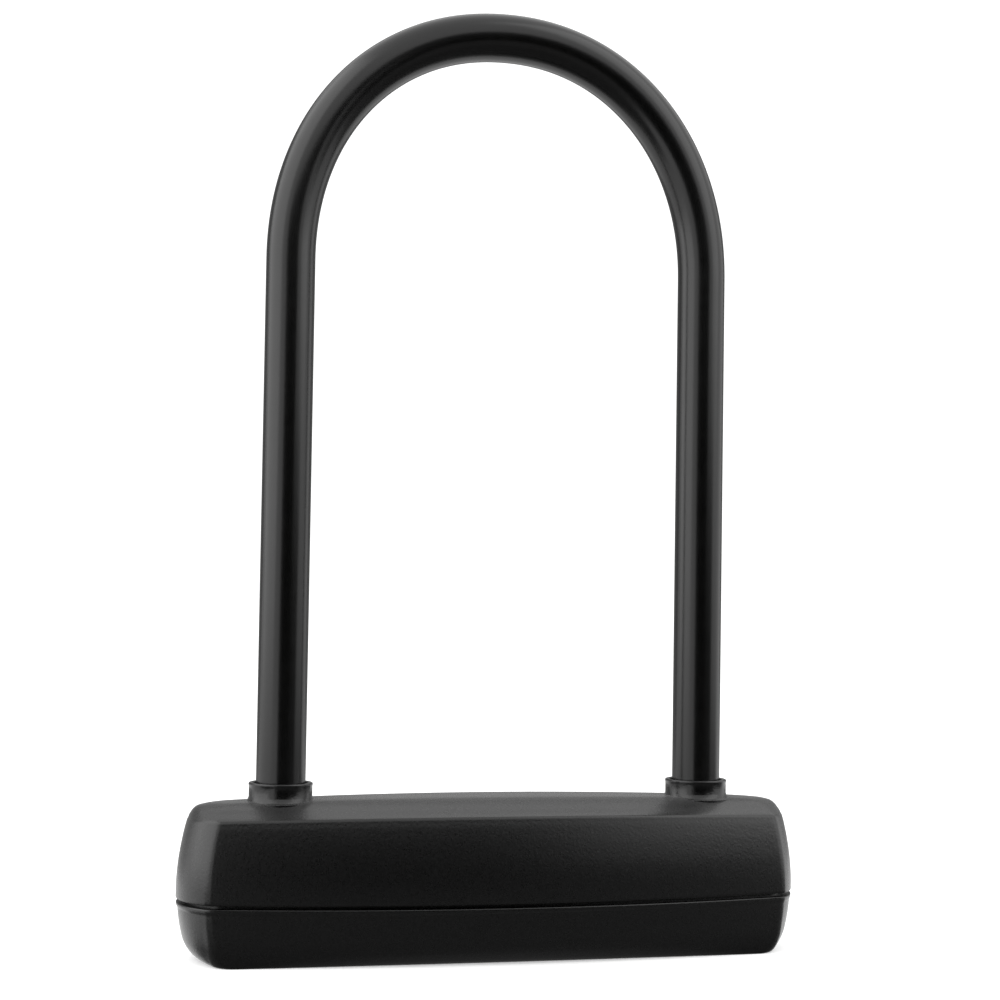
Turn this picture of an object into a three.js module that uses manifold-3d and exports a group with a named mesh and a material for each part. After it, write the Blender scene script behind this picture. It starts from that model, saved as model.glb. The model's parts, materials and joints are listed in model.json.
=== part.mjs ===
// U lock: a coated steel shackle standing in a crossbar with a disc-detainer lock and two bolts.
// Millimetres, +Z up. The origin is the middle of the crossbar's flat underside.
// X runs along the crossbar, and the shackle's legs stand at -X and +X.
import * as THREE from 'three';
import { mergeVertices } from 'three/addons/utils/BufferGeometryUtils.js';
import Module from 'manifold-3d';

const wasm = await Module();
wasm.setup();

// ---- driving dimensions ----
const gap = 0.3; // clearance between neighbouring pieces

// shackle
const barRadius = 6.5; // 13 mm hardened bar
const coatRadius = 7.5;
const coatInnerRadius = barRadius + 0.1;
const legX = 66.2; // half the leg spacing
const archStartZ = 211.5;
const archRise = 73.3;
const archPower = 2.1; // superellipse exponent, 2 would be an ellipse
const footZ = 14.5;
const footChamfer = 1.5;
const coatEndZ = 43;

// crossbar covers
const coverHalfLength = 97;
const coverHalfDepth = 27.5;
const faceRadius = 412; // bow of the front and back faces
const endRadius = 24.5; // bow of the two ends
const cornerRadius = 4; // upright edges between faces and ends
const footHalfLength = 88; // the flat foot under the lower cover is nearly a rectangle
const footHalfDepth = 18.9;
const footFaceRadius = 2400;
const footEndRadius = 60;
const footCornerRadius = 6;
const coverTopZ = 48.3;
const crownDrop = 1.9; // how far the top falls from the middle to the ends
const seamLowZ = 17.4;
const seamHighZ = 18.4;
const wall = 2.4;
const collarTopZ = 52.6;
const collarRadius = 9.7;
const collarBore = 8.3;
const bushSocketRadius = 9.6;

// crossbar tube, along X
const tubeRadius = 16;
const tubeInnerRadius = 12.8;
const tubeHalfLength = 78;
const tubeZ = 24.5;
const legHoleRadius = barRadius + 0.4;

// bolts, along X, driven by a cam with two spiral slots
const boltRadius = 3.5;
const boltZ = 28.2;
const boltTravel = 4.5; // over a quarter turn of the plug
const boltTipX = legX - barRadius - 0.8; // drawn back
const drivePinRadius = 1;
const drivePinX = 4.6; // drawn back
const camZ = 21.6;
const camThickness = 1.8;
const camRadius = 11.2;
const notchDepth = 4.6;

// lock cylinder, upright in the middle
const housingRadius = 10;
const housingLowZ = 5.4;
const housingHighZ = 21.2;
const plugRadius = 6.3;
const plugBore = 5.4;
const plugLowZ = 4.2;
const plugHighZ = 19.7;
const discRadius = 5.15;
const discThickness = 1.4;
const discPitch = 2.2;
const firstDiscZ = 7.5;
const discCount = 5;
const keySlot = { width: 2.2, length: 7 };

// fasteners
const endScrewX = 83.5;
const baseScrewX = 44;

const black = 0x17181a;
const materials = {
  moulding: finish(black, 0.55, 0),
  vinyl: finish(0x1b1c1e, 0.42, 0),
  steel: finish(0x8c9094, 0.35, 1),
  darkSteel: finish(0x4a4d50, 0.5, 1),
  zinc: finish(0x9b9da0, 0.55, 1),
  brass: finish(0xb08d4c, 0.4, 1),
  nylon: finish(0x2a2b2d, 0.6, 0),
};

function finish(color, roughness, metalness) {
  return new THREE.MeshStandardMaterial({ color, roughness, metalness });
}

// ---- solids: joining and cutting ----

function solid(geometry) {
  const bare = geometry.clone();
  bare.deleteAttribute('normal');
  bare.deleteAttribute('uv');
  const merged = mergeVertices(bare, 1e-4);
  const mesh = new wasm.Mesh({
    numProp: 3,
    vertProperties: new Float32Array(merged.attributes.position.array),
    triVerts: new Uint32Array(merged.index.array),
  });
  return new wasm.Manifold(mesh);
}

function geometryOf(body) {
  const mesh = body.getMesh();
  const geometry = new THREE.BufferGeometry();
  geometry.setAttribute('position', new THREE.BufferAttribute(mesh.vertProperties, 3));
  geometry.setIndex(new THREE.BufferAttribute(mesh.triVerts, 1));
  geometry.computeVertexNormals();
  return geometry;
}

const joined = (bodies) => bodies.reduce((sum, body) => sum.add(body));
const cut = (body, tools) => tools.reduce((rest, tool) => rest.subtract(tool), body);

// ---- simple shapes ----

// A turned piece about an upright axis: profile is a list of [radius, z] from bottom to top.
function turned(profile, x = 0, y = 0, sides = 24) {
  const points = profile.map(([radius, z]) => new THREE.Vector2(radius, z));
  const geometry = new THREE.LatheGeometry(points, sides);
  geometry.rotateX(Math.PI / 2);
  geometry.translate(x, y, 0);
  return solid(geometry);
}

function uprightRod(radius, lowZ, highZ, x = 0, y = 0, sides = 24) {
  return turned([[0, lowZ], [radius, lowZ], [radius, highZ], [0, highZ]], x, y, sides);
}

// A ring with an upright axis.
function uprightRing(outer, inner, lowZ, highZ, x = 0, y = 0, sides = 24) {
  const profile = [[inner, lowZ], [outer, lowZ], [outer, highZ], [inner, highZ], [inner, lowZ]];
  return turned(profile, x, y, sides);
}

function rodAlongX(radius, lowX, highX, z, sides = 24) {
  const geometry = new THREE.CylinderGeometry(radius, radius, highX - lowX, sides);
  geometry.rotateZ(Math.PI / 2);
  geometry.translate((lowX + highX) / 2, 0, z);
  return solid(geometry);
}

function rodAlongY(radius, halfLength, x, z, sides = 16) {
  const geometry = new THREE.CylinderGeometry(radius, radius, 2 * halfLength, sides);
  geometry.translate(x, 0, z);
  return solid(geometry);
}

// A block from its lowest and highest corners.
function block(low, high) {
  const size = high.map((value, i) => value - low[i]);
  const geometry = new THREE.BoxGeometry(...size);
  geometry.translate(...high.map((value, i) => (value + low[i]) / 2));
  return solid(geometry);
}

// ---- shackle ----

// The centre line of the U: up one leg, over the arch and down the other leg.
// Each leg takes one step of the sweep, and the arch takes the rest.
class ShackleLine extends THREE.Curve {
  constructor(lowZ, steps) {
    super();
    this.lowZ = lowZ;
    this.legShare = 1 / steps;
  }

  getPoint(t) {
    if (t < this.legShare) {
      const z = THREE.MathUtils.lerp(this.lowZ, archStartZ, t / this.legShare);
      return new THREE.Vector3(-legX, 0, z);
    }
    if (t > 1 - this.legShare) {
      const z = THREE.MathUtils.lerp(this.lowZ, archStartZ, (1 - t) / this.legShare);
      return new THREE.Vector3(legX, 0, z);
    }
    const turn = (Math.PI * (t - this.legShare)) / (1 - 2 * this.legShare);
    const power = 2 / archPower;
    const x = -legX * Math.sign(Math.cos(turn)) * Math.abs(Math.cos(turn)) ** power;
    const z = archStartZ + archRise * Math.abs(Math.sin(turn)) ** power;
    return new THREE.Vector3(x, 0, z);
  }

  getPointAt(u) {
    return this.getPoint(u);
  }

  getTangentAt(u) {
    return this.getTangent(u);
  }
}

const shackleSteps = 26;
const barSides = 16;

function circlePoints(radius, sides) {
  const points = [];
  for (let i = 0; i < sides; i += 1) {
    const angle = (2 * Math.PI * i) / sides;
    points.push(new THREE.Vector2(radius * Math.cos(angle), radius * Math.sin(angle)));
  }
  return points;
}

function sweptU(outerRadius, innerRadius, lowZ) {
  const section = new THREE.Shape(circlePoints(outerRadius, barSides));
  if (innerRadius > 0) {
    section.holes.push(new THREE.Path(circlePoints(innerRadius, barSides)));
  }
  const extrudePath = new ShackleLine(lowZ, shackleSteps);
  return solid(new THREE.ExtrudeGeometry(section, { steps: shackleSteps, extrudePath }));
}

function shackleBar() {
  const bar = sweptU(barRadius, 0, footZ + footChamfer);
  const feet = [-legX, legX].map((x) => turned(
    [[0, footZ], [barRadius - footChamfer, footZ], [barRadius - 0.05, footZ + footChamfer + 0.1],
      [0, footZ + footChamfer + 0.1]],
    x, 0, barSides,
  ));
  const notchHalfHeight = boltRadius + 0.8;
  const notches = [-1, 1].map((side) => {
    const edges = [side * (legX - barRadius - 1), side * (legX - barRadius + notchDepth)];
    edges.sort((a, b) => a - b);
    return block(
      [edges[0], -barRadius - 1, boltZ - notchHalfHeight],
      [edges[1], barRadius + 1, boltZ + notchHalfHeight],
    );
  });
  return cut(joined([bar, ...feet]), notches);
}

function shackleCoating() {
  return sweptU(coatRadius, coatInnerRadius, coatEndZ);
}

// ---- crossbar covers ----

function arcPoints(centre, radius, from, to, count) {
  const points = [];
  for (let i = 0; i <= count; i += 1) {
    const angle = THREE.MathUtils.lerp(from, to, i / count);
    const x = centre.x + radius * Math.cos(angle);
    const y = centre.y + radius * Math.sin(angle);
    points.push(new THREE.Vector2(x, y));
  }
  return points;
}

// A bar seen from above: bowed faces and ends, joined by rounded upright edges.
// The points run once round, and the front half mirrors the back half point for point.
function outline(size, faceSteps, endSteps, cornerSteps) {
  const faceCentre = new THREE.Vector2(0, size.halfDepth - size.faceRadius);
  const endCentre = new THREE.Vector2(size.halfLength - size.endRadius, 0);
  const fromFace = size.faceRadius - size.cornerRadius;
  const fromEnd = size.endRadius - size.cornerRadius;
  const apart = faceCentre.distanceTo(endCentre);
  const along = (fromFace ** 2 - fromEnd ** 2 + apart ** 2) / (2 * apart);
  const across = Math.sqrt(fromFace ** 2 - along ** 2);
  const toEnd = endCentre.clone().sub(faceCentre).normalize();
  const sideways = new THREE.Vector2(toEnd.y, -toEnd.x);
  const corner = faceCentre.clone().addScaledVector(toEnd, along).addScaledVector(sideways, across);
  const faceAngle = corner.clone().sub(faceCentre).angle();
  const endAngle = corner.clone().sub(endCentre).angle();
  const quarter = [
    ...arcPoints(endCentre, size.endRadius, 0, endAngle, endSteps),
    ...arcPoints(corner, size.cornerRadius, endAngle, faceAngle, cornerSteps).slice(1),
    ...arcPoints(faceCentre, size.faceRadius, faceAngle, Math.PI / 2, faceSteps).slice(1),
  ];
  const half = [
    ...quarter,
    ...quarter.slice(0, -1).reverse().map((p) => new THREE.Vector2(-p.x, p.y)),
  ];
  const otherHalf = half.slice(1, -1).reverse().map((p) => new THREE.Vector2(p.x, -p.y));
  return [...half, ...otherHalf];
}

const coverSize = {
  halfLength: coverHalfLength,
  halfDepth: coverHalfDepth,
  faceRadius,
  endRadius,
  cornerRadius,
};
const footSize = {
  halfLength: footHalfLength,
  halfDepth: footHalfDepth,
  faceRadius: footFaceRadius,
  endRadius: footEndRadius,
  cornerRadius: footCornerRadius,
};
const outerPlan = outline(coverSize, 5, 4, 2);
const footPlan = outline(footSize, 5, 4, 2);
const innerPlan = outline(coverSize, 4, 2, 1);

function shrunk(plan, halfLength, halfDepth) {
  const alongX = halfLength / coverHalfLength;
  const alongY = halfDepth / coverHalfDepth;
  return plan.map((point) => new THREE.Vector2(point.x * alongX, point.y * alongY));
}

// Part of the way from the full plan to the straighter outline of the flat foot.
function towardsFoot(share) {
  return outerPlan.map((point, i) => point.clone().lerp(footPlan[i], share));
}

// Rings given as [z, half length, half depth].
function ringsOf(plan, sizes) {
  return sizes.map(([z, halfLength, halfDepth]) => [z, shrunk(plan, halfLength, halfDepth)]);
}

// A body lofted through level rings, each [z, points]. The lowest and highest rings close
// on a line along X. Above the seam the rings sag towards the ends, fully so above the
// shoulder.
function lofted(rings) {
  const sagStartZ = 22;
  const sagFullZ = 44;
  const lineThrough = ([z, points]) => [z, points.map((p) => new THREE.Vector2(p.x * 0.85, 0))];
  const closed = [lineThrough(rings[0]), ...rings, lineThrough(rings.at(-1))];
  const positions = [];
  const index = [];
  closed.forEach(([z, points], level) => {
    const share = THREE.MathUtils.clamp((z - sagStartZ) / (sagFullZ - sagStartZ), 0, 1);
    points.forEach(({ x, y }, i) => {
      const sag = crownDrop * share * (x / coverHalfLength) ** 2;
      positions.push(x, y, z - sag);
      if (level === 0) return;
      const next = (i + 1) % points.length;
      const low = (level - 1) * points.length;
      const high = level * points.length;
      index.push(low + i, low + next, high + next, low + i, high + next, high + i);
    });
  });
  const geometry = new THREE.BufferGeometry();
  geometry.setAttribute('position', new THREE.Float32BufferAttribute(positions, 3));
  geometry.setIndex(index);
  return solid(geometry);
}

const inset = (z, distance) => [z, coverHalfLength - distance, coverHalfDepth - distance];

function collar(x) {
  return turned([
    [0, 46], [10.8, 46], [10.8, 47.1], [10, 48.3], [collarRadius, 49.9],
    [collarRadius, collarTopZ - 0.4], [collarRadius - 0.4, collarTopZ], [0, collarTopZ],
  ], x, 0, 24);
}

function upperCover() {
  const shell = lofted(ringsOf(outerPlan, [
    inset(seamHighZ, 0.4), inset(seamHighZ + 0.5, 0), inset(24, 0.1), inset(30, 0.6),
    inset(36, 1.4), inset(40.5, 2.3), inset(43, 3),
    [44, 93.8, 23.9], [44.75, 93.5, 22], [45.7, 93, 18.8], [46.8, 92.2, 15.3],
    [47.6, 90.9, 12.2], [coverTopZ - 0.2, 88.5, 9.4], [coverTopZ, 83, 6],
  ]));
  const hollow = lofted(ringsOf(innerPlan, [
    inset(10, wall), inset(24, wall + 0.1), inset(36, wall + 1.4), inset(41.5, wall + 3),
    [43.7, 89.3, 18], [45.1, 87, 12], [coverTopZ - wall - 0.2, 81, 6],
  ]));
  const sockets = [-legX, legX].map((x) => uprightRod(bushSocketRadius + 1.6, 41.4, 46.2, x));
  const bosses = [-endScrewX, endScrewX].map((x) => uprightRod(3.1, seamHighZ + 0.4, 45.6, x, 0, 16));
  const bushRooms = [-legX, legX].map((x) => uprightRod(bushSocketRadius, 38, 45.4, x));
  const bores = [-legX, legX].map((x) => uprightRod(collarBore, 40, 60, x, 0, 24));
  const pilots = [-endScrewX, endScrewX].map((x) => uprightRod(1.55, 10, 34.5, x, 0, 12));
  const outside = joined([shell, collar(-legX), collar(legX)]);
  const hollowed = joined([cut(outside, [hollow]), ...sockets, ...bosses]);
  return cut(hollowed, [...bushRooms, ...bores, ...pilots]);
}

// The keyhole shutter runs in a T slot under the middle of the lower cover.
const slotLowX = -10.6;
const slotHighX = 31.4;
const slotMouthZ = 1.2;
const slotTopZ = 2.8;
const slotMouthHalfWidth = 7.8;
const slotHalfWidth = 9.6;
const keyholeRadius = 8.5;
const padTopZ = 5;
const screwHeadLowZ = 0.5;

function screwRecess(x, throughZ, shankRadius) {
  return turned([
    [0, -1], [3.05, -1], [3.05, screwHeadLowZ + 0.2], [shankRadius, screwHeadLowZ + 1.9],
    [shankRadius, throughZ], [0, throughZ],
  ], x, 0, 16);
}

function lowerCover() {
  const tongueInset = wall + 0.5;
  const tongueTopZ = seamHighZ + 1.8;
  const shell = lofted([
    [0, towardsFoot(1)], [0.45, towardsFoot(0.8)], [1.4, towardsFoot(0.64)],
    [2.8, towardsFoot(0.48)], [4.5, towardsFoot(0.35)], [6.5, towardsFoot(0.25)],
    [10, towardsFoot(0.155)], [14.5, towardsFoot(0.08)], [seamLowZ - 1.3, towardsFoot(0.04)],
    [seamLowZ - 0.5, towardsFoot(0.016)], [seamLowZ, towardsFoot(0.07)],
  ]);
  const tongue = lofted(ringsOf(innerPlan, [
    inset(12, tongueInset), inset(tongueTopZ, tongueInset),
  ]));
  const hollow = lofted(ringsOf(innerPlan, [
    inset(wall, 9), inset(4.5, 6.4), inset(8, 4.6), inset(13, 4.2), inset(30, 4.2),
  ]));
  const pad = block([-12.8, -12, 0.6], [33.4, 12, padTopZ]);
  const endBosses = [-endScrewX, endScrewX].map((x) => uprightRod(3.1, 1, seamHighZ, x, 0, 16));
  const baseBosses = [-baseScrewX, baseScrewX].map((x) => uprightRod(4, 1, 8.1, x, 0, 16));
  const slot = block([slotLowX, -slotHalfWidth, slotMouthZ], [slotHighX, slotHalfWidth, slotTopZ]);
  const mouth = block(
    [slotLowX, -slotMouthHalfWidth, -1],
    [slotHighX, slotMouthHalfWidth, slotMouthZ + 0.2],
  );
  const keyhole = uprightRod(keyholeRadius, 2, 6);
  const recesses = [
    screwRecess(-endScrewX, 25, 1.55), screwRecess(endScrewX, 25, 1.55),
    screwRecess(-baseScrewX, 12, 2.05), screwRecess(baseScrewX, 12, 2.05),
  ];
  const hollowed = cut(joined([shell, tongue]), [hollow]);
  const filled = joined([hollowed, pad, ...endBosses, ...baseBosses]);
  return cut(filled, [slot, mouth, keyhole, ...recesses]);
}

function dustCover() {
  const halfLength = 10;
  const plate = block(
    [-halfLength, -slotHalfWidth + gap, slotMouthZ + 0.2],
    [halfLength, slotHalfWidth - gap, slotTopZ - 0.2],
  );
  const face = block(
    [-halfLength, -slotMouthHalfWidth + gap, 0.6],
    [halfLength, slotMouthHalfWidth - gap, slotMouthZ + 0.4],
  );
  const grooves = [-6, -3, 0, 3, 6].map((x) => block([x - 0.6, -5, 0], [x + 0.6, 5, 1]));
  return cut(joined([plate, face]), grooves);
}

function keyholeRing() {
  return turned([
    [6.8, 3.1], [8, 3.1], [8.2, 3.3], [8.2, 4.9], [6.6, 4.9], [6.6, 3.3], [6.8, 3.1],
  ], 0, 0, 20);
}

// A countersunk screw pointing up, with a cross recess in its head.
function screw(x, shankRadius, tipZ) {
  const body = turned([
    [0, screwHeadLowZ], [2.75, screwHeadLowZ], [2.75, screwHeadLowZ + 0.3],
    [shankRadius, screwHeadLowZ + 1.9], [shankRadius, tipZ - 1.2], [shankRadius * 0.3, tipZ],
    [0, tipZ],
  ], x, 0, 16);
  const recess = [
    block([x - 1.6, -0.35, 0], [x + 1.6, 0.35, screwHeadLowZ + 1.1]),
    block([x - 0.35, -1.6, 0], [x + 0.35, 1.6, screwHeadLowZ + 1.1]),
  ];
  return cut(body, recess);
}

function legBush(x) {
  const lowZ = tubeZ + tubeRadius + gap;
  return uprightRing(bushSocketRadius - gap, coatRadius + 0.4, lowZ, 45.1, x);
}

// ---- crossbar core ----

const housingPinX = 10.4;
const housingPinZ = 15.5;
const blockPinX = -20;
const blockPinZ = 34.6;
const crossPinRadius = 1.25;
const crossPinHalfLength = 12;
const blockHalfLength = 30;
const blockLowZ = housingHighZ - 0.1;

function crossbarTube() {
  const body = cut(
    rodAlongX(tubeRadius, -tubeHalfLength, tubeHalfLength, tubeZ, 32),
    [rodAlongX(tubeInnerRadius, -tubeHalfLength - 1, tubeHalfLength + 1, tubeZ, 24)],
  );
  const legHoles = [-legX, legX].map((x) => uprightRod(legHoleRadius, tubeZ, 45, x));
  const lockHole = uprightRod(housingRadius + gap, 0, tubeZ);
  const tappedHoles = [-baseScrewX, baseScrewX].map((x) => uprightRod(2.05, 5, 14, x, 0, 12));
  const pinHoles = [
    rodAlongY(crossPinRadius + 0.2, 20, housingPinX, housingPinZ),
    rodAlongY(crossPinRadius + 0.2, 20, blockPinX, blockPinZ),
  ];
  return cut(body, [...legHoles, lockHole, ...tappedHoles, ...pinHoles]);
}

function endPlug(side) {
  const insideX = legX + barRadius + 0.8;
  const flangeX = tubeHalfLength + gap;
  const flangeThickness = 1.4;
  const profile = [
    [0, insideX], [tubeInnerRadius - gap, insideX], [tubeInnerRadius - gap, flangeX],
    [tubeRadius - 0.4, flangeX], [tubeRadius - 0.4, flangeX + flangeThickness],
    [0, flangeX + flangeThickness],
  ].map(([radius, along]) => new THREE.Vector2(radius, along));
  const geometry = new THREE.LatheGeometry(profile, 24);
  geometry.rotateZ((-side * Math.PI) / 2);
  geometry.translate(0, 0, tubeZ);
  return solid(geometry);
}

function boltGuide(side) {
  const [near, far] = [48, 54];
  const edges = side > 0 ? [near, far] : [-far, -near];
  const body = rodAlongX(tubeInnerRadius - gap, ...edges, tubeZ, 32);
  return cut(body, [rodAlongX(boltRadius + 0.2, edges[0] - 1, edges[1] + 1, boltZ)]);
}

function boltBlock() {
  const body = rodAlongX(tubeInnerRadius - gap, -blockHalfLength, blockHalfLength, tubeZ, 32);
  const below = block([-40, -20, 0], [40, 20, blockLowZ + gap]);
  const camRoom = uprightRod(camRadius + gap, 15, camZ + camThickness + gap, 0, 0, 32);
  const boltBore = rodAlongX(boltRadius + 0.2, -40, 40, boltZ);
  const pinHalfSlot = drivePinRadius + 0.4;
  const pinReach = drivePinX + boltTravel + pinHalfSlot;
  const pinSlot = block([-pinReach, -pinHalfSlot, 20], [pinReach, pinHalfSlot, boltZ]);
  const pinHole = rodAlongY(crossPinRadius + 0.2, 20, blockPinX, blockPinZ);
  return cut(body, [below, camRoom, boltBore, pinSlot, pinHole]);
}

function crossPin(x, z) {
  return rodAlongY(crossPinRadius, crossPinHalfLength, x, z);
}

// ---- lock cylinder ----

function lockHousing() {
  const ringGroove = { low: plugHighZ + 0.2, high: plugHighZ + 1.1, radius: 7.6 };
  const bore = plugRadius + 0.2;
  const body = turned([
    [5.9, housingLowZ], [housingRadius, housingLowZ], [housingRadius, housingHighZ],
    [bore, housingHighZ], [bore, ringGroove.high], [ringGroove.radius, ringGroove.high],
    [ringGroove.radius, ringGroove.low], [bore, ringGroove.low], [bore, housingLowZ + 0.8],
    [5.9, housingLowZ + 0.8], [5.9, housingLowZ],
  ], 0, 0, 24);
  const sidebarGroove = block([-7.4, -0.95, firstDiscZ - 0.3], [-5, 0.95, 18]);
  const pinGroove = rodAlongY(crossPinRadius + 0.2, 20, housingPinX, housingPinZ);
  return cut(body, [sidebarGroove, pinGroove]);
}

const tailThickness = 1.6;
const tailLowZ = plugHighZ - tailThickness - 0.2;
const tailHalfWidth = 1.7;

function keyOpening(lowZ, highZ) {
  const { width, length } = keySlot;
  return block([-width / 2, -length / 2, lowZ], [width / 2, length / 2, highZ]);
}

function lockPlug() {
  const barrel = turned([
    [0, plugLowZ], [5.3, plugLowZ], [5.6, plugLowZ + 0.3], [5.6, housingLowZ + 1],
    [plugRadius, housingLowZ + 1], [plugRadius, plugHighZ], [plugBore, plugHighZ],
    [plugBore, plugLowZ + 1.9], [0, plugLowZ + 1.9],
  ], 0, 0, 24);
  const sidebarSlot = block([-0.95, plugBore - 1, firstDiscZ - 0.3], [0.95, plugRadius + 1, 17.9]);
  return cut(barrel, [keyOpening(0, 10), sidebarSlot]);
}

function drillPlate() {
  const lowZ = plugLowZ + 2.1;
  return cut(uprightRod(discRadius, lowZ, lowZ + 1, 0, 0, 20), [keyOpening(0, 10)]);
}

const discZ = (number) => firstDiscZ + (number - 1) * discPitch;

// Every disc has its own code, cut as a false gate beside the true one.
function detainerDisc(number) {
  const lowZ = discZ(number);
  const disc = uprightRod(discRadius, lowZ, lowZ + discThickness, 0, 0, 20);
  const gate = block([-0.95, 4.3, lowZ - 1], [0.95, 7, lowZ + 3]);
  const turn = 0.9 + 0.35 * number;
  const falseGate = uprightRod(
    0.6, lowZ - 1, lowZ + 3, discRadius * Math.sin(turn), discRadius * Math.cos(turn), 8,
  );
  return cut(disc, [keyOpening(lowZ - 1, lowZ + 3), gate, falseGate]);
}

function discSpacer(number) {
  const lowZ = discZ(number) + discThickness + 0.2;
  return uprightRing(4.25, 3.75, lowZ, lowZ + 0.4, 0, 0, 12);
}

function sidebar() {
  return block([-0.75, 4.5, firstDiscZ], [0.75, 6.15, discZ(discCount) + discThickness]);
}

function plugTail() {
  const plate = uprightRod(plugBore - 0.2, tailLowZ, tailLowZ + tailThickness, 0, 0, 20);
  const drive = block(
    [-tailHalfWidth, -tailHalfWidth, tailLowZ + 1],
    [tailHalfWidth, tailHalfWidth, camZ + camThickness],
  );
  return joined([plate, drive]);
}

function plugRetainingRing() {
  const ring = uprightRing(7.4, 4.6, plugHighZ + 0.3, plugHighZ + 1);
  return cut(ring, [block([3, -1.2, plugHighZ], [9, 1.2, plugHighZ + 2])]);
}

// ---- bolt work ----

// One slot of the scroll cam. Its middle line is a spiral that moves a pin outwards by the
// bolt travel while the cam makes a quarter turn, so the bolts follow at a constant ratio.
function scrollSlot(startAngle) {
  const halfWidth = drivePinRadius + 0.2;
  const steps = 12;
  const overrun = 0.03; // radians past both ends of the travel
  const rate = boltTravel / (Math.PI / 2);
  const side = (sign) => {
    const points = [];
    for (let i = 0; i <= steps; i += 1) {
      const turn = THREE.MathUtils.lerp(-overrun, Math.PI / 2 + overrun, i / steps);
      const radius = drivePinX + rate * turn;
      const angle = startAngle - turn;
      const along = new THREE.Vector2(Math.cos(angle), Math.sin(angle)).multiplyScalar(rate);
      along.add(new THREE.Vector2(Math.sin(angle), -Math.cos(angle)).multiplyScalar(radius));
      const normal = new THREE.Vector2(-along.y, along.x).normalize();
      const point = new THREE.Vector2(radius * Math.cos(angle), radius * Math.sin(angle));
      points.push(point.addScaledVector(normal, sign * halfWidth));
    }
    return points;
  };
  const outline = new THREE.Shape([...side(1), ...side(-1).reverse()]);
  const geometry = new THREE.ExtrudeGeometry(outline, { depth: 6, bevelEnabled: false });
  geometry.translate(0, 0, camZ - 2);
  const ends = [-overrun, Math.PI / 2 + overrun].map((turn) => {
    const radius = drivePinX + rate * turn;
    const angle = startAngle - turn;
    return uprightRod(
      halfWidth, camZ - 2, camZ + 4, radius * Math.cos(angle), radius * Math.sin(angle), 12,
    );
  });
  return joined([solid(geometry), ...ends]);
}

function scrollCam() {
  const body = uprightRod(camRadius, camZ, camZ + camThickness, 0, 0, 32);
  const hub = tailHalfWidth + 0.2;
  const squareHole = block([-hub, -hub, camZ - 1], [hub, hub, camZ + 4]);
  return cut(body, [squareHole, scrollSlot(0), scrollSlot(Math.PI)]);
}

function bolt(side) {
  const edges = side > 0 ? [2.2, boltTipX - 1] : [1 - boltTipX, -2.2];
  const shank = rodAlongX(boltRadius, ...edges, boltZ, 20);
  const tip = new THREE.CylinderGeometry(boltRadius - 0.8, boltRadius, 1, 20);
  tip.rotateZ((-side * Math.PI) / 2);
  tip.translate(side * (boltTipX - 0.5), 0, boltZ);
  const pinHole = uprightRod(drivePinRadius + 0.15, 20, boltZ, side * drivePinX, 0, 12);
  return cut(joined([shank, solid(tip)]), [pinHole]);
}

function boltPin(side) {
  return uprightRod(drivePinRadius, camZ + 0.3, boltZ - 0.3, side * drivePinX, 0, 12);
}

// ---- the assembly ----

const group = new THREE.Group();

function place(name, body, material) {
  const mesh = new THREE.Mesh(geometryOf(body), material);
  mesh.name = name;
  group.add(mesh);
}

place('shackle_bar', shackleBar(), materials.darkSteel);
place('shackle_coating', shackleCoating(), materials.vinyl);
place('upper_cover', upperCover(), materials.moulding);
place('lower_cover', lowerCover(), materials.moulding);
place('dust_cover', dustCover(), materials.moulding);
place('keyhole_ring', keyholeRing(), materials.steel);
place('crossbar_tube', crossbarTube(), materials.darkSteel);
place('bolt_block', boltBlock(), materials.zinc);
place('lock_housing', lockHousing(), materials.brass);
place('lock_plug', lockPlug(), materials.brass);
place('drill_plate', drillPlate(), materials.steel);
place('sidebar', sidebar(), materials.steel);
place('plug_tail', plugTail(), materials.steel);
place('plug_retaining_ring', plugRetainingRing(), materials.steel);
place('scroll_cam', scrollCam(), materials.steel);
place('lock_housing_pin', crossPin(housingPinX, housingPinZ), materials.steel);
place('bolt_block_pin', crossPin(blockPinX, blockPinZ), materials.steel);

for (const [name, side] of [['left', -1], ['right', 1]]) {
  place(`${name}_end_plug`, endPlug(side), materials.zinc);
  place(`${name}_leg_bush`, legBush(side * legX), materials.nylon);
  place(`${name}_bolt_guide`, boltGuide(side), materials.zinc);
  place(`${name}_bolt`, bolt(side), materials.steel);
  place(`${name}_bolt_pin`, boltPin(side), materials.steel);
  place(`${name}_end_screw`, screw(side * endScrewX, 1.3, 33), materials.steel);
  place(`${name}_base_screw`, screw(side * baseScrewX, 1.8, 11.4), materials.steel);
}

for (let number = 1; number <= discCount; number += 1) {
  place(`detainer_disc_${number}`, detainerDisc(number), materials.brass);
}
for (let number = 1; number < discCount; number += 1) {
  place(`disc_spacer_${number}`, discSpacer(number), materials.steel);
}

export default group;
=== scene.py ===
# The looks of a U lock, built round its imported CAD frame. Metres, +Z up, +X along the crossbar.
import json
import math

import bmesh
import bpy
from mathutils import Matrix, Vector


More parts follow.
